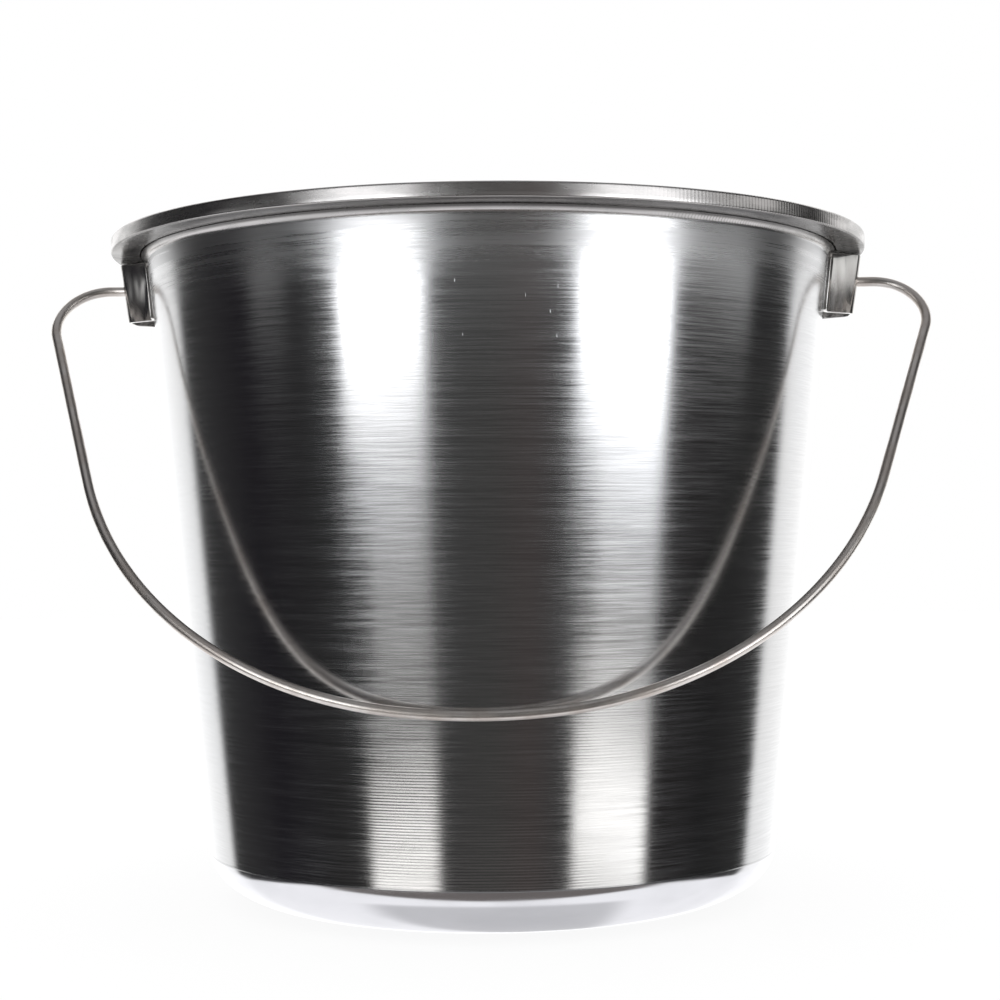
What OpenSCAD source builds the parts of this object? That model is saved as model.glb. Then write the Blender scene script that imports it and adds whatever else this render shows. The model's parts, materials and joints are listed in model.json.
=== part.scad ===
// Stainless steel pail with a flat curled rim, two welded ears and a swinging wire bail.
// Origin: middle of the underside of the base. +X runs to the right ear, the bail rests
// on the front at -Y, and +Z is up.

/* [Pail] */
// Diameter over the curled rim
rim_d = 300; // [280:1:320]
// Height from the floor to the top of the rim
pail_h = 260; // [240:1:290]
// Diameter of the wall where the rounded corner of the base starts
foot_d = 224.8; // [205:0.1:235]
// Diameter of the wall right under the rim
mouth_d = 271.8; // [262:0.1:272]
// Thickness of the sheet
sheet = 0.8; // [0.6:0.1:1.2]
// Height of the rounded corner of the base
corner_h = 21; // [15:1:30]
// Width of the rounded corner of the base
corner_w = 33.7; // [20:0.1:40]

/* [Rim] */
// Height of the flattened curl
rim_t = 5.6; // [5:0.1:8]
// Radius of the hollow between the wall and the underside of the rim
neck_r = 3.2; // [2:0.1:4]
// Slit between the end of the curl and the neck
curl_gap = 0.4; // [0.3:0.1:1]

/* [Ears] */
// Height of the ear
ear_h = 23.5; // [20:0.5:30]
// Width of the face of the channel that the bail's end sits in, over its bends
ear_w = 16; // [14:0.5:22]
// Angle at which the sides of the channel spread towards the wall
ear_spread = 32; // [20:1:40]
// How far the ear stands out from the wall at its top
ear_out = 13.7; // [12:0.1:14.2]
// Thickness of the ear's strip
ear_t = 1.5; // [1:0.1:2]
// Radius of the outer bends of the ear
ear_bend = 5; // [3:0.1:6]
// Width of each flange that is welded to the wall
flange_w = 8; // [6:0.5:12]
// Lean of the ear's face from upright, in degrees
ear_lean = 8; // [5:0.5:9]

/* [Bail] */
// Diameter of the bail's wire
wire_d = 4; // [3.5:0.1:4.5]
// Height of the hole that the bail turns in
pivot_z = 244; // [241:0.5:245]
// Distance from the pivot to the middle of the bail
bail_reach = 202.5; // [195:0.5:210]
// Half of the bail's widest width, to the middle of the wire
bail_half_w = 173.5; // [168:0.5:180]
// Radius of the bend at each shoulder
shoulder_r = 19; // [14:0.5:20]
// Radius of the long curve on each side of the bail's middle
side_r = 147; // [130:1:155]
// Radius of the flatter curve across the bail's middle
middle_r = 216; // [200:1:240]
// Half angle of the flatter curve
middle_angle = 7.5; // [4:0.5:12]
// Diameter of the upset head at the bail's ends
head_d = 7.5; // [6:0.1:9]
// Thickness of the upset head
head_t = 2; // [1.5:0.1:3]
// Distance of each head's inner face from the middle of the pail
head_x = 140.5; // [139:0.5:141]

/* [Fits] */
// Gap all round the wire in the ear's hole
wire_clearance = 0.1; // [0.05:0.01:0.1]
// Gap between the bail and the wall where the bail rests
rest_gap = 0.3; // [0.2:0.05:0.5]

/* [Hidden] */
$fn = 96;
steps = 10;

rim_r = rim_d / 2;
under_z = pail_h - rim_t;
edge_r = rim_t / 2;
wall_slope = (mouth_d - foot_d) / 2 / (under_z - corner_h);
wall_lean = atan(wall_slope);
// Thickness of the leaning wall, measured level.
wall_t = sheet / cos(wall_lean);
base_r = foot_d / 2 - corner_w;

// The wall starts to bend out into the neck at neck_z.
lip_drop = 0.1;
neck_end = 98;
neck_z = under_z - lip_drop - neck_r * (sin(neck_end) - sin(wall_lean));
neck_at = [wall_r(neck_z) + neck_r * cos(wall_lean), neck_z - neck_r * sin(wall_lean)];

rim_gap = 0.4;
ear_top_z = under_z - rim_gap;
ear_face_r = mouth_d / 2 + ear_out;
face_half_w = ear_w / 2 - ear_bend;

// The bail hangs forward of straight down by this angle when it rests on the wall.
rest_lean = asin((wall_r(pivot_z) + (wire_d / 2 + rest_gap) / cos(wall_lean))
    / (bail_reach * sqrt(1 + pow(wall_slope, 2)))) - wall_lean;

// Centres of the bail's curves, as [sideways, away from the pivot].
shoulder_at = [bail_half_w - shoulder_r, shoulder_r];
middle_at = [0, bail_reach - middle_r];
side_at = middle_at + (middle_r - side_r) * [sin(middle_angle), cos(middle_angle)];
span = shoulder_at - side_at;
// Angle at which the long curve meets the straight leg, from the bail's middle.
leg_angle = asin((side_r - shoulder_r) / norm(span)) + atan2(-span[1], span[0]);
pin_end = shoulder_at[0];
tube_sides = 16;
tube_r = wire_d / 2 - 0.01;
pin_overlap = 1;

// Outer radius of the straight wall at height z.
function wall_r(z) = foot_d / 2 + wall_slope * (z - corner_h);

function arc(centre, r, from, to) =
    [for (i = [0:steps]) let (a = from + (to - from) * i / steps)
        centre + r * [cos(a), sin(a)]];

// Outside of the neck, from the wall to the slit under the rim.
function neck_line() = arc(neck_at, neck_r, 180 - wall_lean, neck_end);

// The rounded corner of the base, a quarter ellipse, set in by the given depth.
function corner(depth, from, to) =
    [for (i = [0:steps]) let (a = from + (to - from) * i / steps)
        [base_r + (corner_w - depth) * cos(a), corner_h - (corner_h - depth) * sin(a)]];

// Section through the drawn shell: base, corner, wall, neck and the hollow flattened curl.
module shell_section() {
    top_bend = edge_r;
    bend_z = pail_h - top_bend;
    bend_at = [wall_r(bend_z) - wall_t + top_bend / cos(wall_lean), bend_z];
    edge_at = [rim_r - edge_r, bend_z];
    neck_tip = neck_line()[steps];
    lip_r = neck_tip[0] + curl_gap;
    polygon(concat(
        [[0, 0]],
        corner(0, 90, 0),
        neck_line(),
        [[neck_tip[0], under_z + sheet], [wall_r(under_z + sheet), under_z + sheet]],
        arc(bend_at, top_bend - sheet, 180 - wall_lean, 90),
        arc(edge_at, edge_r - sheet, 90, -90),
        [[lip_r, under_z + sheet], [lip_r, under_z]],
        arc(edge_at, edge_r, -90, 90),
        arc(bend_at, top_bend, 90, 180 - wall_lean),
        corner(sheet, 0, 90),
        [[0, sheet]]
    ));
}

module pail() {
    color([0.62, 0.63, 0.65]) rotate_extrude($fn = 180) shell_section();
}

// The solid inside the outer face of the wall and the neck, up to the rim.
module inside_wall() {
    low_z = under_z - 2 * ear_h;
    rotate_extrude($fn = 180) polygon(concat(
        [[0, low_z], [wall_r(low_z), low_z]],
        neck_line(),
        [[neck_line()[steps][0], under_z], [0, under_z]]
    ));
}

// Half the inner width of the channel where it meets the wall.
function root_half_w(bend) =
    face_half_w + bend * cos(ear_spread) + (ear_out - ear_bend + bend * sin(ear_spread)) * tan(ear_spread);

// Plan outline of the ear's channel, round the given bend, with its open side inward.
module channel_outline(bend) {
    depth = 2 * ear_out;
    side_end = 90 - ear_spread;
    open_half_w = face_half_w + bend * cos(ear_spread)
        + (depth - ear_bend + bend * sin(ear_spread)) * tan(ear_spread);
    polygon(concat(
        [[-depth, -open_half_w]],
        arc([-ear_bend, -face_half_w], bend, -side_end, 0),
        arc([-ear_bend, face_half_w], bend, 0, side_end),
        [[-depth, open_half_w]]
    ));
}

module ear_channel() {
    spare = ear_h / 2;
    translate([ear_face_r, 0, ear_top_z]) rotate([0, ear_lean, 0]) translate([0, 0, -ear_h - spare])
        linear_extrude(ear_h + 2 * spare) difference() {
            channel_outline(ear_bend);
            channel_outline(ear_bend - ear_t);
        }
}

// Two flanges on the straight part of the wall, one on each side of the channel.
module ear_flanges() {
    low_z = neck_z - 2 * ear_h;
    difference() {
        translate([0, 0, low_z])
            cylinder(h = 2 * ear_h, r1 = wall_r(low_z) + ear_t, r2 = wall_r(neck_z) + ear_t, $fn = 180);
        translate([0, -root_half_w(ear_bend - ear_t), low_z - ear_h])
            cube([rim_r, 2 * root_half_w(ear_bend - ear_t), 4 * ear_h]);
    }
}

// One ear on the +X side: the channel, its two flanges and the hole for the wire.
module ear() {
    half_span = root_half_w(ear_bend) + flange_w;
    color([0.60, 0.60, 0.62]) difference() {
        intersection() {
            union() {
                ear_channel();
                ear_flanges();
            }
            translate([rim_r / 2, -half_span, ear_top_z - ear_h]) cube([rim_r, 2 * half_span, ear_h]);
        }
        inside_wall();
        translate([0, 0, pivot_z]) rotate([0, 90, 0])
            cylinder(h = 2 * rim_r, d = wire_d + 2 * wire_clearance, $fn = 64);
    }
}

module right_ear() {
    ear();
}

module left_ear() {
    mirror([1, 0, 0]) ear();
}

// Points round a bend in the plane of the bail, between two angles measured from the
// direction away from the pivot.
function bend(centre, r, from, to, count) =
    [for (i = [0:count]) let (a = from + (to - from) * i / count)
        centre + r * [sin(a), cos(a)]];

function mirrored(points) = [for (i = [len(points) - 1:-1:0]) [-points[i][0], points[i][1]]];

// Middle line of the bent wire, from just inside the right pin to the left one.
shoulder_steps = 10;
side_steps = 14;
middle_steps = 2;
side_line = concat(
    [[pin_end - pin_overlap, 0]],
    bend(shoulder_at, shoulder_r, 180, leg_angle, shoulder_steps),
    bend(side_at, side_r, leg_angle, middle_angle, side_steps)
);
middle_line = bend(middle_at, middle_r, middle_angle / 2, -middle_angle / 2, middle_steps);
wire_line = concat(side_line, middle_line, mirrored(side_line));

// Direction of the wire at point i of its line, from the point before to the point after.
function heading(i) =
    let (last = len(wire_line) - 1)
    let (run = wire_line[min(i + 1, last)] - wire_line[max(i - 1, 0)])
    run / norm(run);

// The loop of wire as a tube with flat sides, a hair thinner than the pins it runs into.
module wire_loop() {
    rings = len(wire_line);
    points = [for (i = [0:rings - 1]) let (h = heading(i)) for (k = [0:tube_sides - 1])
        let (a = 360 * k / tube_sides)
        [wire_line[i][0] - tube_r * cos(a) * h[1], tube_r * sin(a),
            -wire_line[i][1] - tube_r * cos(a) * h[0]]];
    walls = [for (i = [0:rings - 2]) for (k = [0:tube_sides - 1])
        let (here = i * tube_sides, next = here + tube_sides, l = (k + 1) % tube_sides)
        each [[here + k, next + k, here + l], [here + l, next + k, next + l]]];
    first_cap = [for (k = [0:tube_sides - 1]) k];
    last_cap = [for (k = [0:tube_sides - 1]) rings * tube_sides - 1 - k];
    polyhedron(points, concat(walls, [first_cap, last_cap]));
}

// The straight end that turns in the right ear, with its upset head.
module wire_pin() {
    translate([head_x, 0, 0]) rotate([0, 90, 0]) {
        cylinder(h = head_t, d = head_d, $fn = 48);
        cylinder(h = pin_end - head_x, d = wire_d, $fn = 48);
    }
}

module bail() {
    color([0.55, 0.53, 0.50]) translate([0, 0, pivot_z]) rotate([-rest_lean, 0, 0]) {
        wire_loop();
        wire_pin();
        mirror([1, 0, 0]) wire_pin();
    }
}

pail();
left_ear();
right_ear();
bail();
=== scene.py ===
import json
from math import asin, atan2, cos, pi, radians, sin, sqrt, tan

import bmesh
import bpy
from mathutils import Matrix, Vector


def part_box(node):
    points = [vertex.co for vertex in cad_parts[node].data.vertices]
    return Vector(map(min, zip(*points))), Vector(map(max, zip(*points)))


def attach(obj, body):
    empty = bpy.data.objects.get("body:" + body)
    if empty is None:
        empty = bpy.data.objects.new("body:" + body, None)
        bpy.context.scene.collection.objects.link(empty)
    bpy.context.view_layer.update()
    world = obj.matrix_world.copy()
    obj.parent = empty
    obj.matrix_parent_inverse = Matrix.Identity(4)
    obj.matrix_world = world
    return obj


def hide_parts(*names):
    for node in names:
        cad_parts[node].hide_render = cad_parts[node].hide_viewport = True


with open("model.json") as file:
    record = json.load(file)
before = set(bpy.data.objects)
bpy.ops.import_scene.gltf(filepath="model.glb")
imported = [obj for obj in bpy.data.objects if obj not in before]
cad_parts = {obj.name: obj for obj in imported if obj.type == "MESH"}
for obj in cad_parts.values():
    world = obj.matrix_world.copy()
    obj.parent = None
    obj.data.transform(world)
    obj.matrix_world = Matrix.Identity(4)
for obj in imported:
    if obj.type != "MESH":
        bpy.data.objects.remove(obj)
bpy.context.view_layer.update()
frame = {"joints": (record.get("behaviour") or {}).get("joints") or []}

mm = 0.001

# small helpers for node trees


def addNode(tree, kind, wires=None, **settings):
    node = tree.nodes.new("ShaderNode" + kind)
    for name, value in settings.items():
        setattr(node, name, value)
    for name, value in (wires or {}).items():
        if isinstance(value, bpy.types.NodeSocket):
            tree.links.new(value, node.inputs[name])
        else:
            node.inputs[name].default_value = value
    return node


def calc(tree, operation, *values):
    wires = dict(enumerate(values))
    return addNode(tree, "Math", wires, operation=operation).outputs[0]


def fade(tree, value, start, end, low=0.0, high=1.0):
    wires = {"Value": value, "From Min": start, "From Max": end, "To Min": low, "To Max": high}
    return addNode(tree, "MapRange", wires, interpolation_type="SMOOTHSTEP").outputs["Result"]


def ramp(tree, value, stops):
    node = addNode(tree, "ValToRGB", {"Fac": value})
    bar = node.color_ramp
    while len(bar.elements) < len(stops):
        bar.elements.new(0.5)
    for element, (place, shade) in zip(bar.elements, stops):
        element.position = place
        element.color = (*shade, 1) if isinstance(shade, tuple) else (shade, shade, shade, 1)
    return node.outputs["Color"]


def blendColor(tree, amount, first, second):
    node = addNode(tree, "Mix", {0: amount, 6: first, 7: second}, data_type="RGBA", blend_type="MIX")
    return node.outputs[2]


def stretched(tree, scale, offset=(0, 0, 0)):
    place = addNode(tree, "TexCoord").outputs["Object"]
    return addNode(tree, "Mapping", {"Vector": place, "Scale": scale, "Location": offset}).outputs[0]


def noise(tree, vector, detail=2.0, roughness=0.5):
    wires = {"Vector": vector, "Scale": 1.0, "Detail": detail, "Roughness": roughness}
    return addNode(tree, "TexNoise", wires).outputs["Fac"]


def product(tree, *values):
    total = values[0]
    for value in values[1:]:
        total = calc(tree, "MULTIPLY", total, value)
    return total


def opaque(shade, share=1.0):
    return (*(part * share for part in shade), 1)


def vectorSum(tree, first, second):
    return addNode(tree, "VectorMath", {0: first, 1: second}, operation="ADD").outputs[0]


def newMaterial(name):
    material = bpy.data.materials.new(name)
    material.use_nodes = True
    tree = material.node_tree
    tree.nodes.clear()
    shader = addNode(tree, "BsdfPrincipled", {"Metallic": 1.0})
    output = addNode(tree, "OutputMaterial")
    tree.links.new(shader.outputs[0], output.inputs["Surface"])
    return material, tree, shader


def bump(tree, height, strength, distance, base=None):
    wires = {"Height": height, "Strength": strength, "Distance": distance}
    if base is not None:
        wires["Normal"] = base
    return addNode(tree, "Bump", wires).outputs["Normal"]


def aroundAngle(tree):
    # angle round the pail in degrees, 0 at the front and 90 at the right ear
    axes = addNode(tree, "SeparateXYZ", {0: addNode(tree, "TexCoord").outputs["Object"]})
    back = calc(tree, "MULTIPLY", axes.outputs["Y"], -1.0)
    angle = calc(tree, "ARCTAN2", axes.outputs["X"], back)
    return calc(tree, "MULTIPLY", angle, 180 / pi), axes.outputs["Z"]


# the wavering of the normal along the brushing, which frays the edges of reflections
def combedNormal(tree, streak, amount):
    normal = addNode(tree, "NewGeometry").outputs["Normal"]
    side = addNode(tree, "VectorMath", {0: (0, 0, 1), 1: normal}, operation="CROSS_PRODUCT").outputs[0]
    push = calc(tree, "MULTIPLY", calc(tree, "SUBTRACT", streak, 0.5), amount)
    pushed = addNode(tree, "VectorMath", {0: side, "Scale": push}, operation="SCALE").outputs[0]
    total = vectorSum(tree, normal, pushed)
    return addNode(tree, "VectorMath", {0: total}, operation="NORMALIZE").outputs[0]


# steel finishes, with grain sizes in waves per metre and heights in metres

wallFinish = {
    "shade": (0.70, 0.705, 0.715),
    "darkShare": 0.86,
    "stain": (0.64, 0.62, 0.60),
    "stainShare": 0.25,
    "fineGrain": (34, 34, 2600),
    "fineShare": 0.85,
    "broadGrain": (9, 9, 420),
    "clouds": (14, 14, 10),
    "roughness": 0.15,
    "insideRoughness": 0.10,
    "anisotropy": 0.2,
    "hazeHeights": (0.222, 0.252),
    "haze": 0.17,
    "ringPitch": 1.05 * mm,
    "ringHeights": (0.100, 0.045),
    "ringDepth": 0.42,
    "ringPolish": 0.03,
    "nickGrain": (330, 330, 90),
    "nickHeights": (0.200, 0.248),
    "nickAngles": (-24, 22),
    "waver": 0.042,
    "bumpHeight": 0.02 * mm,
}


def brushedSteel(name, inside=False):
    w = wallFinish
    material, tree, shader = newMaterial(name)
    angle, height = aroundAngle(tree)
    fine = noise(tree, stretched(tree, w["fineGrain"]), detail=3, roughness=0.7)
    broad = noise(tree, stretched(tree, w["broadGrain"], (3, 1, 7)), detail=2)
    cloud = noise(tree, stretched(tree, w["clouds"], (5, 2, 1)), detail=3)
    streak = calc(tree, "ADD", product(tree, fine, w["fineShare"]), product(tree, broad, 1 - w["fineShare"]))

    # hazier just under the rim
    haze = product(tree, fade(tree, height, *w["hazeHeights"]), fade(tree, broad, 0.30, 0.62, 0.55, 1.0))

    # sharper rings left by turning near the foot
    low = fade(tree, height, *w["ringHeights"])
    rings = calc(tree, "SINE", product(tree, height, 2 * pi / w["ringPitch"]))
    rings = product(tree, rings, low, fade(tree, cloud, 0.42, 0.58))

    dark = opaque(w["shade"], w["darkShare"])
    shade = blendColor(tree, fade(tree, streak, 0.30, 0.70), dark, opaque(w["shade"]))
    stained = fade(tree, cloud, 0.35, 0.7, 0.0, w["stainShare"])
    shade = blendColor(tree, stained, shade, opaque(w["stain"]))
    tree.links.new(shade, shader.inputs["Base Color"])

    rough = fade(tree, streak, 0.3, 0.7, w["roughness"] - 0.03, w["roughness"] + 0.06)
    rough = calc(tree, "ADD", rough, product(tree, haze, w["haze"]))
    rough = calc(tree, "SUBTRACT", rough, product(tree, low, w["ringPolish"]))
    if inside:
        rough = calc(tree, "ADD", rough, w["insideRoughness"])
    tree.links.new(rough, shader.inputs["Roughness"])
    shader.inputs["Anisotropic"].default_value = w["anisotropy"]
    shader.inputs["Anisotropic Rotation"].default_value = 0.25
    tangent = addNode(tree, "Tangent", direction_type="RADIAL", axis="Z")
    tree.links.new(tangent.outputs[0], shader.inputs["Tangent"])

    # short bright nicks from use, front of the wall under the rim
    nickField = addNode(tree, "TexVoronoi", {"Vector": stretched(tree, w["nickGrain"]), "Scale": 1.0})
    nicks = fade(tree, nickField.outputs["Distance"], 0.075, 0.05)
    lowest, highest = w["nickHeights"]
    left, right = w["nickAngles"]
    nicks = product(tree, nicks, fade(tree, height, lowest, lowest + 0.015),
                    fade(tree, height, highest, highest - 0.008),
                    fade(tree, angle, left, left + 8), fade(tree, angle, right, right - 10))

    combed = combedNormal(tree, streak, w["waver"])
    relief = calc(tree, "ADD", streak, product(tree, rings, w["ringDepth"]))
    relief = calc(tree, "ADD", relief, product(tree, nicks, -2.0))
    tree.links.new(bump(tree, relief, 0.35, w["bumpHeight"], combed), shader.inputs["Normal"])
    return material


rimFinish = {
    "shade": (0.60, 0.58, 0.57),
    "dullShade": (0.52, 0.51, 0.50),
    "smudges": (60, 60, 240),
    "grain": (20, 20, 1600),
    "ribPitch": 0.573,
    "ribShade": (0.22, 0.21, 0.20),
    "ribShare": 0.75,
    "ribDepth": 1.2,
    # painted shade for the crease under the curl: its heights, colour and share
    "creaseShadeHeights": (0.2533, 0.2550),
    "paintedCreaseShade": (0.10, 0.095, 0.09),
    "creaseShadeShare": 0.80,
    "roughness": (0.20, 0.30),
    "bumpHeight": 0.03 * mm,
}


def polishedRim():
    r = rimFinish
    material, tree, shader = newMaterial("polishedRim")
    angle, height = aroundAngle(tree)
    smudge = noise(tree, stretched(tree, r["smudges"]), detail=4)
    lines = noise(tree, stretched(tree, r["grain"]), detail=2)

    # fine cross ribs left by the curling rollers, stronger towards the right ear
    ribs = calc(tree, "SINE", product(tree, angle, 2 * pi / r["ribPitch"]))
    ribs = product(tree, ribs, fade(tree, angle, 14, 52), fade(tree, angle, 104, 84),
                   fade(tree, smudge, 0.35, 0.6, 0.5, 1.0))
    shade = blendColor(tree, fade(tree, smudge, 0.35, 0.68), opaque(r["shade"]), opaque(r["dullShade"]))
    shade = blendColor(tree, fade(tree, ribs, 0.0, 0.8, 0.0, r["ribShare"]), shade, opaque(r["ribShade"]))

    # painted shade: the crease under the curl is darkened in colour
    lowest, highest = r["creaseShadeHeights"]
    creaseShade = product(tree, fade(tree, height, highest, highest - 0.0005),
                    fade(tree, height, lowest, lowest + 0.0008), r["creaseShadeShare"])
    shade = blendColor(tree, creaseShade, shade, opaque(r["paintedCreaseShade"]))
    tree.links.new(shade, shader.inputs["Base Color"])
    tree.links.new(fade(tree, smudge, 0.3, 0.7, *r["roughness"]), shader.inputs["Roughness"])
    relief = calc(tree, "ADD", product(tree, ribs, r["ribDepth"]), product(tree, lines, 0.4))
    tree.links.new(bump(tree, relief, 0.4, r["bumpHeight"]), shader.inputs["Normal"])
    return material


footFinish = {
    "shade": (0.80, 0.80, 0.82),
    "dullShade": (0.74, 0.74, 0.76),
    "smudges": (30, 30, 90),
    "grain": (12, 12, 1500),
    "roughness": (0.10, 0.17),
    "bumpHeight": 0.01 * mm,
}


def polishedFoot():
    f = footFinish
    material, tree, shader = newMaterial("polishedFoot")
    smudge = noise(tree, stretched(tree, f["smudges"]), detail=4)
    lines = noise(tree, stretched(tree, f["grain"]), detail=2)
    shade = blendColor(tree, fade(tree, smudge, 0.35, 0.7), opaque(f["shade"]), opaque(f["dullShade"]))
    tree.links.new(shade, shader.inputs["Base Color"])
    tree.links.new(fade(tree, smudge, 0.3, 0.7, *f["roughness"]), shader.inputs["Roughness"])
    tree.links.new(bump(tree, lines, 0.25, f["bumpHeight"]), shader.inputs["Normal"])
    return material


wireFinish = {
    "shade": (0.80, 0.76, 0.72),
    "dullShade": (0.68, 0.62, 0.57),
    "stain": (0.52, 0.47, 0.43),
    "stainShare": 0.25,
    "grain": (380, 380, 380),
    "spots": (90, 90, 90),
    "roughness": (0.28, 0.38),
    "bumpHeight": 0.02 * mm,
}


def drawnWire():
    w = wireFinish
    material, tree, shader = newMaterial("drawnWire")
    grain = noise(tree, stretched(tree, w["grain"], (2, 7, 4)), detail=3, roughness=0.6)
    spots = noise(tree, stretched(tree, w["spots"]), detail=4)
    shade = blendColor(tree, fade(tree, spots, 0.35, 0.7), opaque(w["shade"]), opaque(w["dullShade"]))
    shade = blendColor(tree, fade(tree, grain, 0.45, 0.7, 0.0, w["stainShare"]), shade, opaque(w["stain"]))
    tree.links.new(shade, shader.inputs["Base Color"])
    tree.links.new(fade(tree, spots, 0.3, 0.7, *w["roughness"]), shader.inputs["Roughness"])
    tree.links.new(bump(tree, grain, 0.2, w["bumpHeight"]), shader.inputs["Normal"])
    return material


earFinish = {
    "shade": (0.80, 0.79, 0.77),
    "dullShade": (0.58, 0.56, 0.54),
    "dents": (150, 150, 60),
    "grain": (900, 900, 40),
    "roughness": (0.14, 0.26),
    "bumpHeight": 0.55 * mm,
}


def bentStrip():
    e = earFinish
    material, tree, shader = newMaterial("bentStrip")
    dents = noise(tree, stretched(tree, e["dents"]), detail=1)
    lines = noise(tree, stretched(tree, e["grain"]), detail=2)
    shade = blendColor(tree, fade(tree, dents, 0.35, 0.68), opaque(e["shade"]), opaque(e["dullShade"]))
    tree.links.new(shade, shader.inputs["Base Color"])
    tree.links.new(fade(tree, dents, 0.3, 0.7, *e["roughness"]), shader.inputs["Roughness"])
    relief = calc(tree, "ADD", product(tree, lines, 0.015), dents)
    tree.links.new(bump(tree, relief, 1.0, e["bumpHeight"]), shader.inputs["Normal"])
    return material


# mesh helpers, all in millimetres until a piece is finished


def lineTo(bm, tip, x, z, parts=1):
    start = tip.co.copy()
    for i in range(1, parts + 1):
        tip = bmesh.ops.extrude_vert_indiv(bm, verts=[tip])["verts"][0]
        tip.co = start.lerp(Vector((x, 0, z)), i / parts)
    return tip


def arcTo(bm, tip, x, z, turn, steps):
    # turn is anticlockwise in degrees, seen with x to the right and z up
    made = bmesh.ops.spin(bm, geom=[tip], cent=(x, 0, z), axis=(0, -1, 0), angle=radians(turn), steps=steps)
    return [v for v in made["geom_last"] if isinstance(v, bmesh.types.BMVert)][0]


def finishPiece(bm, name, materials, sharp=40):
    bmesh.ops.scale(bm, vec=(mm, mm, mm), verts=bm.verts)
    mesh = bpy.data.meshes.new(name)
    bm.to_mesh(mesh)
    bm.free()
    for material in materials:
        mesh.materials.append(material)
    mesh.shade_smooth()
    mesh.set_sharp_from_angle(angle=radians(sharp))
    piece = bpy.data.objects.new(name, mesh)
    bpy.context.scene.collection.objects.link(piece)
    return piece


# the shell: one closed section, spun once round

shellShape = {
    "footRadius": 112.4,
    "footHeight": 21.0,
    "cornerWidth": 33.7,
    "cornerTurn": 86,
    "sheet": 0.8,
    "wallSlope": 0.1007,
    "rimHeight": 5.6,
    "rimCorner": 0.9,
    "neckRadius": 3.2,
    "neckEnd": 98,
    "neckDrop": 0.1,
    "lowerTurn": 84,
    "faceInset": 0.0055,
    "faceShort": 1.1,
    "lipGap": 0.4,
    "grooveDepth": 0.14,
    "grooveHeights": (0.25, 0.45, 0.65),
    "segments": 288,
}


def wallRadius(z):
    return shellShape["footRadius"] + shellShape["wallSlope"] * (z - shellShape["footHeight"])


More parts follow.
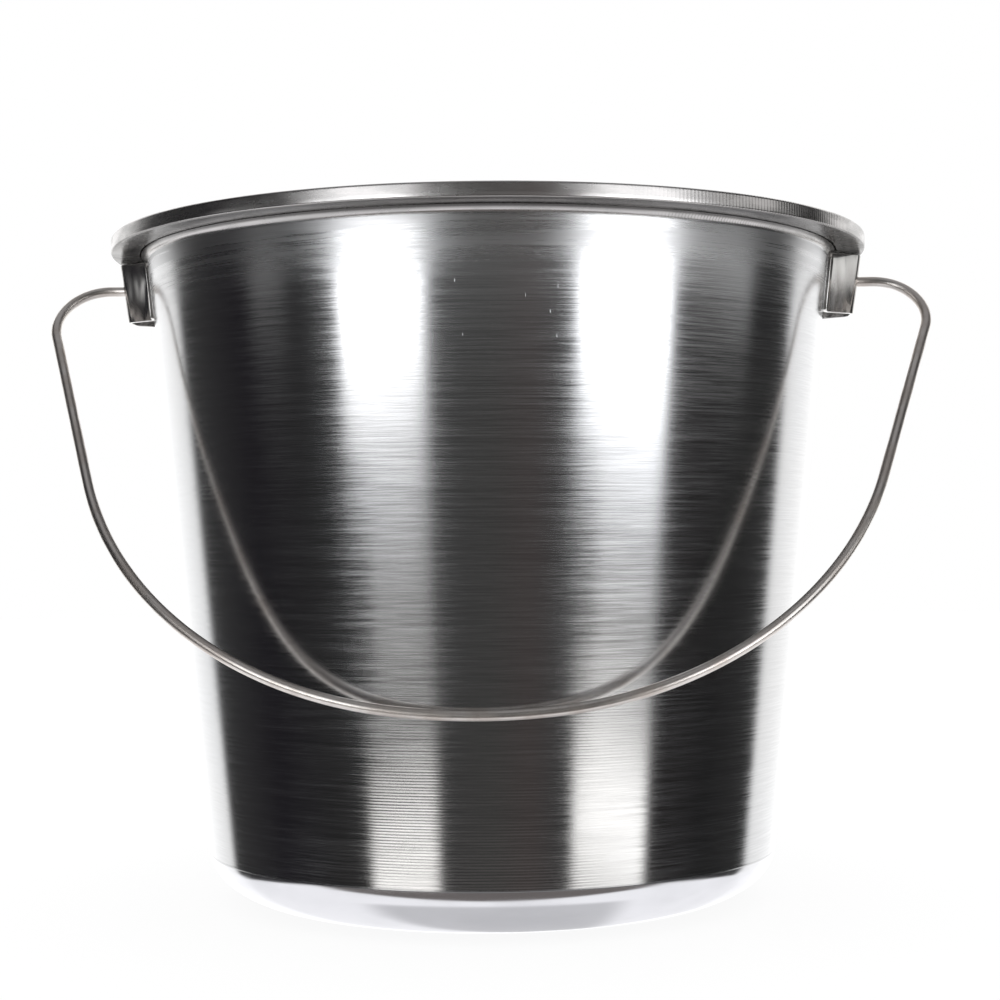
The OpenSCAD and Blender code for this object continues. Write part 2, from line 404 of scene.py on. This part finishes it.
def makeShell():
    s = shellShape
    low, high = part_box("pail")
    rimRadius = min(high.x, high.y) / mm
    top = high.z / mm
    lean = atan2(s["wallSlope"], 1)
    leanTurn = lean * 180 / pi
    wallThick = s["sheet"] / cos(lean)
    baseRadius = s["footRadius"] - s["cornerWidth"]
    bead = s["rimHeight"] / 2
    under = top - s["rimHeight"]
    beadZ = top - bead
    beadX = rimRadius - bead
    bendX = wallRadius(beadZ) - wallThick + bead / cos(lean)
    bm = bmesh.new()

    # outside: base, rounded corner, fine groove at the seam and wall
    tip = bm.verts.new((0, 0, 0))
    tip = lineTo(bm, tip, baseRadius, 0, 8)
    before = set(bm.verts)
    tip = arcTo(bm, tip, baseRadius, s["cornerWidth"], s["cornerTurn"], 28)
    bmesh.ops.scale(bm, vec=(1, 1, s["footHeight"] / s["cornerWidth"]),
                    verts=[v for v in bm.verts if v not in before])
    seam = tip.co.z
    for rise, depth in zip(s["grooveHeights"], (s["grooveDepth"], s["grooveDepth"], 0)):
        tip = lineTo(bm, tip, wallRadius(seam + rise) - depth, seam + rise)

    # the wall bends out into a small hollow neck under the rim
    neckTurn = 180 - s["neckEnd"] - leanTurn
    neckZ = under - s["neckDrop"] - s["neckRadius"] * (sin(radians(s["neckEnd"])) - sin(lean))
    tip = lineTo(bm, tip, wallRadius(neckZ), neckZ, 24)
    tip = arcTo(bm, tip, wallRadius(neckZ) + s["neckRadius"] * cos(lean),
                neckZ - s["neckRadius"] * sin(lean), -neckTurn, 12)
    neckTip = tip.co.x
    tip = lineTo(bm, tip, neckTip, under + s["sheet"])
    tip = lineTo(bm, tip, wallRadius(under + s["sheet"]), under + s["sheet"])

    # inside the flattened curl, out to the lip and back over the rim
    inner = bead - s["sheet"]
    tip = lineTo(bm, tip, bendX - inner * cos(lean), beadZ + inner * sin(lean))
    tip = arcTo(bm, tip, bendX, beadZ, leanTurn - 90, 6)
    tip = lineTo(bm, tip, beadX, beadZ + inner)
    tip = arcTo(bm, tip, beadX, beadZ, -180, 14)
    lip = neckTip + s["lipGap"] + s["sheet"] / 2
    tip = lineTo(bm, tip, lip, under + s["sheet"])
    tip = arcTo(bm, tip, lip, under + s["sheet"] / 2, 180, 6)
    corner = s["rimCorner"]
    cornerX = rimRadius - corner
    tip = lineTo(bm, tip, cornerX, under, 3)
    tip = arcTo(bm, tip, cornerX, under + corner, s["lowerTurn"], 8)
    tip = lineTo(bm, tip, rimRadius - corner * s["faceInset"], top - corner * s["faceShort"], 3)
    tip = arcTo(bm, tip, cornerX, top - corner, 90, 8)
    tip = lineTo(bm, tip, bendX, top, 2)
    tip = arcTo(bm, tip, bendX, beadZ, 90 - leanTurn, 10)

    # inside wall, corner and floor of the pail
    insideWidth = s["cornerWidth"] - s["sheet"]
    insideHeight = s["footHeight"] - s["sheet"]
    skip = radians(90 - s["cornerTurn"])
    cornerZ = s["footHeight"] - insideWidth * sin(skip)
    tip = lineTo(bm, tip, baseRadius + insideWidth * cos(skip), cornerZ, 18)
    before = set(bm.verts)
    last = tip
    tip = arcTo(bm, tip, baseRadius, s["footHeight"], -s["cornerTurn"], 24)
    for v in bm.verts:
        if v not in before or v is last:
            v.co.z = s["footHeight"] + (v.co.z - s["footHeight"]) * insideHeight / insideWidth
    tip = lineTo(bm, tip, 0, s["sheet"], 8)

    bmesh.ops.spin(bm, geom=bm.verts[:] + bm.edges[:], cent=(0, 0, 0), axis=(0, 0, 1), angle=2 * pi,
                   steps=s["segments"], use_merge=True)
    bmesh.ops.remove_doubles(bm, verts=bm.verts, dist=0.001)
    bmesh.ops.recalc_face_normals(bm, faces=bm.faces)

    # finishes: 0 brushed wall, 1 rim, 2 foot, 3 inside
    for face in bm.faces:
        centre = face.calc_center_median()
        outward = face.normal.x * centre.x + face.normal.y * centre.y
        radius = sqrt(centre.x ** 2 + centre.y ** 2)
        if centre.z > under - 0.2 or radius > wallRadius(centre.z) + 0.05:
            face.material_index = 1
        elif centre.z < seam + 0.1 and (outward > 1 or face.normal.z < -0.5):
            face.material_index = 2
        elif outward < 0 or face.normal.z > 0.5:
            face.material_index = 3
    return finishPiece(bm, "pailShell", [brushedSteel("brushedWall"), polishedRim(), polishedFoot(),
                                         brushedSteel("brushedInside", True)], 28)


# an ear: a bent strip with two flanges on the wall

earShape = {
    "top": 254.0,
    "height": 23.5,
    "faceWidth": 16.0,
    "faceRadius": 149.5,
    "spread": 32.0,
    "strip": 1.5,
    "outerBend": 5.0,
    "innerBend": 2.6,
    "flange": 8.0,
    "flangeDrop": 2.7,
    "faceLean": 8.0,
    "edgeRounding": 0.28,
    "holeZ": 244.0,
    "holeRadius": 2.1,
    "weldRadius": 5.0,
    "weldDepth": 0.18,
    "weldDrops": (6.5, 16.5),
    "cutterDepth": 30,
}


def cutterFor(e, root):
    bm = bmesh.new()
    place = Matrix.Translation((e["faceRadius"], 0, e["holeZ"])) @ Matrix.Rotation(pi / 2, 4, "Y")
    bmesh.ops.create_cone(bm, cap_ends=True, segments=48, radius1=e["holeRadius"], radius2=e["holeRadius"],
                          depth=e["cutterDepth"], matrix=place)
    for side in (-1, 1):
        for drop in e["weldDrops"]:
            y = side * (root + e["flange"] / 2)
            z = e["top"] - drop
            reach = wallRadius(z) + e["strip"] + e["weldRadius"] - e["weldDepth"]
            place = Matrix.Translation((sqrt(reach ** 2 - y ** 2), y, z))
            bmesh.ops.create_icosphere(bm, subdivisions=4, radius=e["weldRadius"], matrix=place)
    bmesh.ops.scale(bm, vec=(mm, mm, mm), verts=bm.verts)
    mesh = bpy.data.meshes.new("cutter")
    bm.to_mesh(mesh)
    bm.free()
    cutter = bpy.data.objects.new("cutter", mesh)
    bpy.context.scene.collection.objects.link(cutter)
    return cutter


def makeEar(name, material, side):
    e = earShape
    wallTop = wallRadius(e["top"])
    skin = wallTop + e["strip"]
    spread = radians(e["spread"])
    # sharp corner of the face, then the root where the side meets the flange
    corner = e["faceWidth"] / 2 - e["outerBend"] * (1 - cos(spread) + (1 - sin(spread)) * tan(spread))
    root = corner
    for _ in range(6):
        root = corner + (e["faceRadius"] - sqrt(skin ** 2 - root ** 2)) * tan(spread)
    bm = bmesh.new()

    # plan line of the strip's outer skin, from one flange's end to the other
    endAngle = (root + e["flange"]) / skin
    rootAngle = asin(root / skin)
    tip = bm.verts.new((skin * cos(endAngle), -skin * sin(endAngle), e["top"]))
    made = bmesh.ops.spin(bm, geom=[tip], cent=(0, 0, e["top"]), axis=(0, 0, 1),
                          angle=endAngle - rootAngle, steps=6)
    tip = [v for v in made["geom_last"] if isinstance(v, bmesh.types.BMVert)][0]
    rootX = tip.co.x
    for x, y in ((e["faceRadius"], -corner), (e["faceRadius"], corner), (rootX, root)):
        tip = bmesh.ops.extrude_vert_indiv(bm, verts=[tip])["verts"][0]
        tip.co = (x, y, e["top"])
    bmesh.ops.spin(bm, geom=[tip], cent=(0, 0, e["top"]), axis=(0, 0, 1),
                   angle=endAngle - rootAngle, steps=6)
    lowered = [g for g in bmesh.ops.extrude_edge_only(bm, edges=bm.edges[:])["geom"]
               if isinstance(g, bmesh.types.BMVert)]
    bmesh.ops.translate(bm, vec=(0, 0, -e["height"]), verts=lowered)
    tangentShare = tan((pi / 2 - spread) / 2)
    for x, radius in ((e["faceRadius"], e["outerBend"]), (rootX, e["innerBend"])):
        folds = [g for g in bm.edges if len(g.link_faces) == 2 and abs(g.verts[0].co.x - x) < 0.01
                 and abs(g.verts[0].co.z - g.verts[1].co.z) > 1]
        bmesh.ops.bevel(bm, geom=folds, offset=radius * tangentShare, offset_type="OFFSET", affect="EDGES",
                        segments=8, profile=0.5, material=-1)
    # the flanges stop below the neck
    for v in bm.verts:
        if abs(v.co.y) > root + 0.3 and v.co.z > e["top"] - 1:
            v.co.z -= e["flangeDrop"]
    bmesh.ops.remove_doubles(bm, verts=bm.verts, dist=0.001)
    bmesh.ops.recalc_face_normals(bm, faces=bm.faces)
    front = max(bm.faces, key=lambda f: f.calc_center_median().x)
    if front.normal.x < 0:
        bmesh.ops.reverse_faces(bm, faces=bm.faces)
    bmesh.ops.solidify(bm, geom=bm.faces[:], thickness=e["strip"])
    bmesh.ops.recalc_face_normals(bm, faces=bm.faces)

    # the strip leans with the wall at its flanges and a little more at its face
    faceSlope = tan(radians(e["faceLean"]))
    for v in bm.verts:
        away = min(max((v.co.x - wallTop) / (e["faceRadius"] - wallTop), 0), 1)
        slope = shellShape["wallSlope"] + (faceSlope - shellShape["wallSlope"]) * away
        v.co.x -= (e["top"] - v.co.z) * slope
    piece = finishPiece(bm, name + "Blank", [material])
    cutter = cutterFor(e, root)
    cut = piece.modifiers.new("holes", "BOOLEAN")
    cut.operation = "DIFFERENCE"
    cut.solver = "EXACT"
    cut.object = cutter
    soften = piece.modifiers.new("soften", "BEVEL")
    soften.width = e["edgeRounding"] * mm
    soften.segments = 3
    soften.limit_method = "ANGLE"
    soften.angle_limit = radians(50)
    bpy.context.view_layer.update()
    shaped = bpy.data.meshes.new_from_object(piece.evaluated_get(bpy.context.evaluated_depsgraph_get()))
    for spare in (piece, cutter):
        bpy.data.objects.remove(spare)

    bm = bmesh.new()
    bm.from_mesh(shaped)
    if side < 0:
        bmesh.ops.scale(bm, vec=(-1, 1, 1), verts=bm.verts)
    bmesh.ops.remove_doubles(bm, verts=bm.verts, dist=0.000001)
    bmesh.ops.recalc_face_normals(bm, faces=bm.faces)
    bmesh.ops.scale(bm, vec=(1 / mm, 1 / mm, 1 / mm), verts=bm.verts)
    return finishPiece(bm, name, [material])


# the bail: round wire bent in one plane, with an upset head at each end

bailShape = {
    "wireRadius": 1.95,
    "reach": 202.5,
    "halfWidth": 173.5,
    "shoulderRadius": 19.0,
    "sideRadius": 147.0,
    "middleRadius": 216.0,
    "middleAngle": 7.5,
    "headInner": 140.5,
    "headThick": 2.0,
    "headRadius": 3.75,
    "headDome": (0.5, 0.6),
    "headEdge": 0.4,
    "headFillet": (0.25, 0.2),
    "nominalRadius": 2.0,
    "restGap": 0.3,
    "wireSides": 28,
}


def growRing(bm, ring):
    made = bmesh.ops.extrude_edge_only(bm, edges=ring)["geom"]
    verts = [g for g in made if isinstance(g, bmesh.types.BMVert)]
    edges = [g for g in made if isinstance(g, bmesh.types.BMEdge)
             and g.verts[0] in verts and g.verts[1] in verts]
    return verts, edges


def bendOn(bm, ring, centre, turn, steps):
    verts = list(dict.fromkeys(v for g in ring for v in g.verts))
    made = bmesh.ops.spin(bm, geom=verts + ring, cent=(centre[0], 0, -centre[1]), axis=(0, 1, 0),
                          angle=radians(turn), steps=steps)
    return [g for g in made["geom_last"] if isinstance(g, bmesh.types.BMEdge)]


def makeBail(material):
    b = bailShape
    pivotZ = frame["joints"][0]["pos_m"][2] / mm
    slope = shellShape["wallSlope"]
    wallLean = atan2(slope, 1)
    standOff = (b["nominalRadius"] + b["restGap"]) / cos(wallLean)
    restLean = asin((wallRadius(pivotZ) + standOff) / (b["reach"] * sqrt(1 + slope ** 2))) - wallLean

    # arcs in the bail's own plane, across and down from the pivot line
    middleAngle = radians(b["middleAngle"])
    offset = b["middleRadius"] - b["sideRadius"]
    middleCentre = (0, b["reach"] - b["middleRadius"])
    sideCentre = (offset * sin(middleAngle), middleCentre[1] + offset * cos(middleAngle))
    shoulderCentre = (b["halfWidth"] - b["shoulderRadius"], b["shoulderRadius"])
    span = (shoulderCentre[0] - sideCentre[0], shoulderCentre[1] - sideCentre[1])
    apart = sqrt(span[0] ** 2 + span[1] ** 2)
    radiusDrop = b["sideRadius"] - b["shoulderRadius"]
    legAngle = asin(radiusDrop / apart) + atan2(-span[1], span[0])
    legWay = Vector((-cos(legAngle), 0, -sin(legAngle))) * sqrt(apart ** 2 - radiusDrop ** 2)

    # the domed head, then the wire grows out of it ring by ring
    bm = bmesh.new()
    start = Matrix.Translation((b["headInner"], 0, 0)) @ Matrix.Rotation(pi / 2, 4, "Y")
    bmesh.ops.create_circle(bm, cap_ends=False, segments=b["wireSides"],
                            radius=b["headRadius"] - b["headDome"][1], matrix=start)
    ring = bm.edges[:]
    bmesh.ops.contextual_create(bm, geom=ring)
    thick = b["headThick"]
    edge = b["headEdge"]
    filletOut, filletUp = b["headFillet"]
    headRings = ((b["headDome"][0], b["headRadius"]), (thick - edge, b["headRadius"]),
                 (thick, b["headRadius"] - edge), (thick, b["wireRadius"] + filletUp),
                 (thick + filletOut, b["wireRadius"]))
    for out, radius in headRings:
        verts, ring = growRing(bm, ring)
        for v in verts:
            size = sqrt(v.co.y ** 2 + v.co.z ** 2)
            v.co = (b["headInner"] + out, v.co.y * radius / size, v.co.z * radius / size)
    verts, ring = growRing(bm, ring)
    bmesh.ops.translate(bm, vec=(shoulderCentre[0] - verts[0].co.x, 0, 0), verts=verts)
    ring = bendOn(bm, ring, shoulderCentre, 180 - legAngle * 180 / pi, 20)
    verts, ring = growRing(bm, ring)
    bmesh.ops.translate(bm, vec=legWay, verts=verts)
    ring = bendOn(bm, ring, sideCentre, legAngle * 180 / pi - b["middleAngle"], 64)
    ring = bendOn(bm, ring, middleCentre, b["middleAngle"], 8)
    bmesh.ops.mirror(bm, geom=bm.verts[:] + bm.edges[:] + bm.faces[:], axis="X", merge_dist=0.01)
    bmesh.ops.remove_doubles(bm, verts=bm.verts, dist=0.005)
    bmesh.ops.recalc_face_normals(bm, faces=bm.faces)
    lean = Matrix.Rotation(-restLean, 4, "X")
    bmesh.ops.transform(bm, matrix=Matrix.Translation((0, 0, pivotZ)) @ lean, verts=bm.verts)
    return finishPiece(bm, "bailWire", [material])


# build, and hand each piece to its body

print("shell")
pailShell = makeShell()
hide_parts("pail")
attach(pailShell, "pail")

print("ears")
earSteel = bentStrip()
leftEar = makeEar("leftEar", earSteel, -1)
rightEar = makeEar("rightEar", earSteel, 1)
for ear, node in ((leftEar, "left_ear"), (rightEar, "right_ear")):
    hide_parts(node)
    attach(ear, "pail")

print("bail")
bailWire = makeBail(drawnWire())
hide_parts("bail")
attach(bailWire, "bail")

# studio: a white backdrop behind, dark sides, two tall soft lights in front

print("studio")
studio = {
    "turn": 2.75,   # degrees that the whole surround is turned to the right
    "footWay": (0, 0.981, -0.194),   # from the camera to the pail's foot
    "room": ((-180, 1.36), (-156, 1.32), (-144, 1.25), (-130, 1.12), (-125, 0.05),
             (-90, (0.016, 0.015, 0.018)), (-62, 0.022), (-20, 0.05),
             (0, (0.056, 0.056, 0.054)), (14, (0.066, 0.056, 0.054)), (26, 0.05),
             (66, (0.024, 0.022, 0.022)), (90, 0.016), (119, 0.04), (124, 1.12),
             (144, 1.25), (156, 1.32), (180, 1.36)),
    "lampBrightness": 4.4,
    "lampEdge": 2.4,
    "upperTint": (0.97, 0.98, 1.0),
    "lowerTint": (1.0, 0.985, 0.96),
    "lampTop": ((-4.5, 0.95), (0, 1.0), (6, 0.36), (30, 0.30), (38, 0.0)),
    "narrowing": (-5.5, -9.5, -15.5, -17.5),
    "glow": 0.11,
    "glowAngles": (-58, 66),
    "ceiling": (0.30, 0.30, 0.31),
    "table": (1.04, 1.04, 1.065),
    "tableFront": (0.17, 0.155, 0.15),
    # painted shadow of the pail on the table, seen in the steel near the foot
    "paintedTableShadow": (0.66, 0.66, 0.68),
    "tableSides": (1.2, 1.2, 1.22),
    "softLight": 1.25,
    "floorSize": 6.0,
    "floorShade": (0.10, 0.10, 0.10),
    "floorGlow": (0.90, 0.90, 0.90),
}

# the two lamps: edges and how far the left edge moves in are in degrees, and each fall is a
# height in degrees with its brightness
lamps = (
    {"edges": (-50.0, -21.5), "inwards": 7.0,
     "falls": ((-26, 0.40), (-21.5, 0.46), (-19.8, 0.42), (-18.4, 0.07), (-17.4, 0.0),
               (-15, 0.008), (-13.3, 0.065), (-10.4, 0.075), (-7.6, 0.11), (-6, 0.24))},
    {"edges": (29.0, 61.5), "inwards": 9.0,
     "falls": ((-26, 0.08), (-21.5, 0.13), (-20, 0.34), (-18.2, 0.50), (-17, 0.46),
               (-15.2, 0.055), (-13.3, 0.058), (-10.4, 0.085), (-7.6, 0.25), (-6, 0.45))},
)

# two pale panels beside the lamps, seen by the ears and the rim
panels = (
    {"edges": (-84, -70), "heights": (0.2, 6.0), "brightness": 0.5},
    {"edges": (67, 96), "heights": (0.2, 14.0), "brightness": 0.8},
)


def band(tree, angle, edges, soft, shift=0.0):
    # shift moves the left edge to the right
    moved = calc(tree, "SUBTRACT", angle, shift)
    rise = fade(tree, moved, edges[0] - soft, edges[0] + soft)
    fall = fade(tree, angle, edges[1] + soft, edges[1] - soft)
    return product(tree, rise, fall)


# a ramp with its stops given in degrees between low and high
def degreeRamp(tree, value, low, high, stops):
    share = calc(tree, "DIVIDE", calc(tree, "SUBTRACT", value, low), high - low)
    return ramp(tree, share, [((degrees - low) / (high - low), shade) for degrees, shade in stops])


def lampLight(tree, angle, rise):
    start, full, hold, end = studio["narrowing"]
    narrow = product(tree, fade(tree, rise, start, full), fade(tree, rise, end, hold, 0.2, 1.0))
    total = 0.0
    for lamp in lamps:
        shape = band(tree, angle, lamp["edges"], studio["lampEdge"], product(tree, narrow, lamp["inwards"]))
        bright = degreeRamp(tree, rise, -90, 90, lamp["falls"] + studio["lampTop"])
        total = calc(tree, "ADD", product(tree, shape, bright), total)
    lowered = fade(tree, rise, -9, -15)
    tint = blendColor(tree, lowered, opaque(studio["upperTint"]), opaque(studio["lowerTint"]))
    scaled = {0: tint, "Scale": product(tree, total, studio["lampBrightness"])}
    return addNode(tree, "VectorMath", scaled, operation="SCALE").outputs[0]


def panelLight(tree, angle, rise):
    total = 0.0
    for panel in panels:
        low, high = panel["heights"]
        shape = product(tree, fade(tree, rise, low - 1.2, low + 1.2),
                        fade(tree, rise, high + 1.5, high - 1.5),
                        band(tree, angle, panel["edges"], 3), panel["brightness"])
        total = calc(tree, "ADD", shape, total)
    return total


# the pale table below, laid out by the slope of steel that mirrors it to the front
def addTable(tree, way, rise, around):
    facing = addNode(tree, "VectorMath", {0: way, 1: studio["footWay"]}, operation="SUBTRACT").outputs[0]
    slope = addNode(tree, "VectorMath", {0: facing}, operation="NORMALIZE").outputs[0]
    slopes = addNode(tree, "SeparateXYZ", {0: slope}).outputs
    turned = calc(tree, "ARCTAN2", slopes["X"], product(tree, slopes["Y"], -1.0))
    turned = calc(tree, "SUBTRACT", product(tree, turned, 180 / pi), studio["turn"] / 2)
    tilt = product(tree, calc(tree, "ARCSINE", slopes["Z"]), -180 / pi)
    sideways = calc(tree, "ABSOLUTE", turned)
    frontEdge = fade(tree, sideways, 0, 60, 19.0, 2.0)
    below = calc(tree, "SUBTRACT", tilt, frontEdge)
    pale = fade(tree, below, -1.5, 1.5)
    table = blendColor(tree, pale, opaque(studio["tableFront"]), opaque(studio["table"]))
    # painted shadow of the pail on the table, greyer straight below the foot
    tableShadow = product(tree, fade(tree, sideways, 31, 22), fade(tree, tilt, 25, 30))
    table = blendColor(tree, tableShadow, table, opaque(studio["paintedTableShadow"]))
    around = blendColor(tree, fade(tree, rise, -22.5, -25), around, table)
    outside = product(tree, fade(tree, sideways, 56, 62), fade(tree, rise, -18, -24))
    return blendColor(tree, outside, around, opaque(studio["tableSides"]))


def makeWorld():
    world = bpy.data.worlds.new("studio")
    bpy.context.scene.world = world
    world.use_nodes = True
    tree = world.node_tree
    tree.nodes.clear()
    way = addNode(tree, "TexCoord").outputs["Generated"]
    axes = addNode(tree, "SeparateXYZ", {0: way})

    # angle round the pail and rise above the horizon, both in degrees
    angle = calc(tree, "ARCTAN2", axes.outputs["X"], product(tree, axes.outputs["Y"], -1.0))
    angle = calc(tree, "SUBTRACT", product(tree, angle, 180 / pi), studio["turn"])
    rise = product(tree, calc(tree, "ARCSINE", axes.outputs["Z"]), 180 / pi)

    around = degreeRamp(tree, angle, -180, 180, studio["room"])
    around = vectorSum(tree, around, lampLight(tree, angle, rise))
    glow = product(tree, fade(tree, rise, -5.2, -2.0), fade(tree, rise, 12, 7, 0.0, studio["glow"]),
                   band(tree, angle, studio["glowAngles"], 8))
    around = vectorSum(tree, around, glow)
    around = vectorSum(tree, around, panelLight(tree, angle, rise))
    around = blendColor(tree, fade(tree, rise, 34, 62), around, opaque(studio["ceiling"]))
    around = addTable(tree, way, rise, around)

    # the camera and diffuse light see plain white, and only the steel mirrors the surround
    rays = addNode(tree, "LightPath")
    seen = addNode(tree, "Background", {"Color": (1, 1, 1, 1), "Strength": 1.0}).outputs[0]
    soft = addNode(tree, "Background", {"Color": (1, 1, 1, 1), "Strength": studio["softLight"]}).outputs[0]
    mirrored = addNode(tree, "Background", {"Color": around, "Strength": 1.0}).outputs[0]
    mixed = addNode(tree, "MixShader", {0: rays.outputs["Is Diffuse Ray"], 1: mirrored, 2: soft}).outputs[0]
    mixed = addNode(tree, "MixShader", {0: rays.outputs["Is Camera Ray"], 1: mixed, 2: seen}).outputs[0]
    output = addNode(tree, "OutputWorld")
    tree.links.new(mixed, output.inputs["Surface"])


def makeFloor():
    bm = bmesh.new()
    bmesh.ops.create_circle(bm, cap_ends=True, segments=96, radius=studio["floorSize"] / 2)
    mesh = bpy.data.meshes.new("studioFloor")
    bm.to_mesh(mesh)
    bm.free()
    material, tree, shader = newMaterial("paleFloor")
    shader.inputs["Metallic"].default_value = 0.0
    shader.inputs["Base Color"].default_value = opaque(studio["floorShade"])
    shader.inputs["Roughness"].default_value = 0.9
    shader.inputs["Specular IOR Level"].default_value = 0.0
    shader.inputs["Emission Color"].default_value = opaque(studio["floorGlow"])
    shader.inputs["Emission Strength"].default_value = 1.0
    mesh.materials.append(material)
    floor = bpy.data.objects.new("studioFloor", mesh)
    bpy.context.scene.collection.objects.link(floor)
    floor.visible_glossy = False   # the table seen in the steel is part of the world


makeWorld()
makeFloor()

# camera, low and square on, a little to the right of the front

print("camera")
shot = {
    "distance": 797.4 * mm,
    "height": 141.7 * mm,
    "around": 0.048,
    "aimRight": 0.005,
    "aimUp": 0.02,
    "roll": -0.0081,
    "lens": 71.07,
    "sensor": 36,
}
lens = bpy.data.cameras.new("camera")
lens.lens = shot["lens"]
lens.sensor_width = shot["sensor"]
camera = bpy.data.objects.new("camera", lens)
bpy.context.scene.collection.objects.link(camera)
spot = Vector((shot["distance"] * sin(shot["around"]),
               -shot["distance"] * cos(shot["around"]),
               shot["height"]))
camera.matrix_world = (Matrix.Translation(spot)
                       @ Matrix.Rotation(shot["around"] - shot["aimRight"], 4, "Z")
                       @ Matrix.Rotation(pi / 2 + shot["aimUp"], 4, "X")
                       @ Matrix.Rotation(shot["roll"], 4, "Z"))
bpy.context.scene.camera = camera
bpy.context.scene.view_settings.view_transform = "Standard"

print("done")
